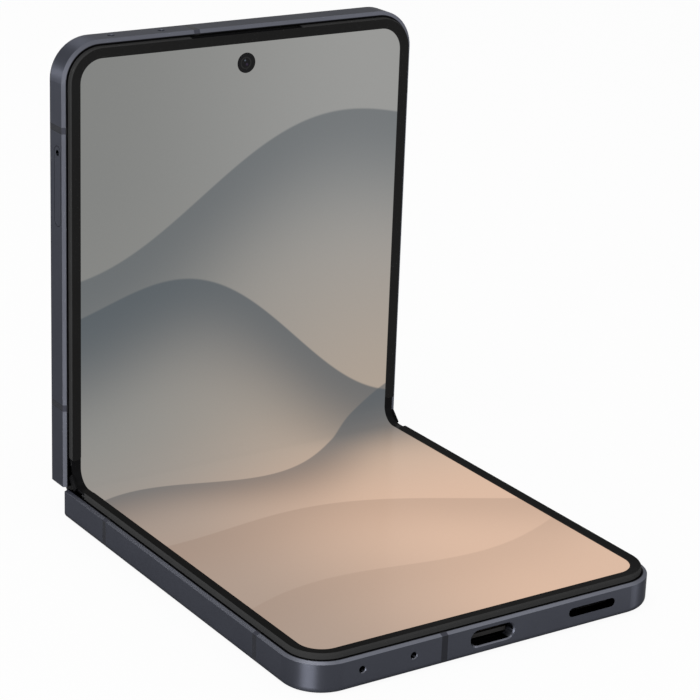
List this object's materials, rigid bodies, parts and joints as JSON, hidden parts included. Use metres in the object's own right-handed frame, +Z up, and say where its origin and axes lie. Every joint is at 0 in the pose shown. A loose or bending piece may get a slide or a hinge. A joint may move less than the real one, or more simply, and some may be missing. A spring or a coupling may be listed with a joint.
{
  "type": "foldable smartphone",
  "caption": "Pocket phone that folds across its middle on a geared two-axis hinge, standing half open like a small laptop, with one display bending through the fold.",
  "frame": {"origin": "middle of the flat underside of the lower half, which is its back cover, on the surface it lies on", "axes": "+X to the right of someone facing the display, +Y from the free edge of the lower half towards the hinge, +Z up"},
  "size_m": [0.0723, 0.0883, 0.0872],
  "materials": {
    "body_metal": "satin anodised, dark slate",
    "antenna_plastic": "matt, a shade darker than the metal",
    "back_glass": "frosted opaque glass",
    "screen": "glossy display, opaque",
    "bezel_plastic": "satin black",
    "steel": "brushed",
    "spring_steel": "oiled spring steel",
    "cell": "black pouch foil",
    "circuit_board": "solder mask",
    "black_plastic": "moulded black",
    "copper": "bare copper",
    "flex_film": "amber polyimide film",
    "lens_glass": "coated lens glass",
    "lamp_lens": "diffusing lens",
    "mesh_metal": "black woven mesh"
  },
  "bodies": {
    "lower_half": {"lower_frame": "body_metal", "lower_antenna_bands": "antenna_plastic", "lower_cover": "back_glass", "lower_bezel": "bezel_plastic", "lower_display": "screen", "lower_display_backing": "steel", "lower_hinge_brackets": "steel", "lower_hinge_screws": "steel", "lower_battery": "cell", "lower_board": "circuit_board", "lower_board_screws": "steel", "usb_receptacle": "steel", "usb_tongue": "black_plastic", "loudspeaker": "black_plastic", "speaker_mesh": "mesh_metal", "lower_microphones": "black_plastic", "charging_coil": "copper", "haptic_motor": "steel"},
    "spine": {"spine_cover": "body_metal", "spine_end_caps": "bezel_plastic", "hinge_bases": "steel", "hinge_pins": "steel", "friction_washers": "spring_steel", "display_fold": "screen", "hinge_flex": "flex_film"},
    "upper_half": {"upper_frame": "body_metal", "upper_antenna_bands": "antenna_plastic", "upper_cover": "back_glass", "upper_bezel": "bezel_plastic", "upper_display": "screen", "upper_display_backing": "steel", "upper_hinge_brackets": "steel", "upper_hinge_screws": "steel", "upper_battery": "cell", "main_board": "circuit_board", "board_shields": "steel", "upper_board_screws": "steel", "selfie_camera": "black_plastic", "selfie_window": "lens_glass", "rear_cameras": "black_plastic", "rear_camera_rings": "body_metal", "rear_camera_windows": "lens_glass", "flash_lamp": "lamp_lens", "cover_display": "screen", "earpiece": "black_plastic", "earpiece_mesh": "mesh_metal", "upper_microphones": "black_plastic", "sim_reader": "steel", "key_switches": "copper"},
    "idler_lower": {"idler_gears_lower": "steel"},
    "idler_upper": {"idler_gears_upper": "steel"},
    "volume_key": {"volume_key": "body_metal"},
    "side_key": {"side_key": "body_metal"},
    "sim_tray": {"sim_tray": "body_metal"}
  },
  "joints": [
    {"name": "lower_hinge", "type": "hinge", "parent": "lower_half", "child": "spine", "pos_m": [0, 0.03887, 0.00485], "axis": [1, 0, 0], "range_deg": [-45, 45], "deforming": ["display_fold", "hinge_flex"]},
    {"name": "upper_hinge", "type": "hinge", "parent": "spine", "child": "upper_half", "pos_m": [0, 0.0417, 0.00768], "axis": [1, 0, 0], "range_deg": [-45, 45]},
    {"name": "idler_lower_spin", "type": "hinge", "parent": "spine", "child": "idler_lower", "pos_m": [0, 0.04099, 0.00394], "axis": [1, 0, 0], "range_deg": [-46, 46]},
    {"name": "idler_upper_spin", "type": "hinge", "parent": "spine", "child": "idler_upper", "pos_m": [0, 0.04261, 0.00557], "axis": [1, 0, 0], "range_deg": [-46, 46]},
    {"name": "volume_key_rock", "type": "hinge", "parent": "upper_half", "child": "volume_key", "pos_m": [0.0334, 0.04345, 0.06098], "axis": [0, 1, 0], "range_deg": [-1, 1], "stiffness_Nm_per_rad": 0.6},
    {"name": "side_key_press", "type": "slide", "parent": "upper_half", "child": "side_key", "axis": [-1, 0, 0], "range_m": [0, 0.0002], "stiffness_N_per_m": 6000},
    {"name": "sim_tray_slide", "type": "slide", "parent": "upper_half", "child": "sim_tray", "axis": [-1, 0, 0], "range_m": [0, 0.016]}
  ],
  "couplings": [
    {"joint": "upper_hinge", "follows": "lower_hinge", "ratio": 1},
    {"joint": "idler_lower_spin", "follows": "lower_hinge", "ratio": 1},
    {"joint": "idler_upper_spin", "follows": "lower_hinge", "ratio": -1}
  ]
}
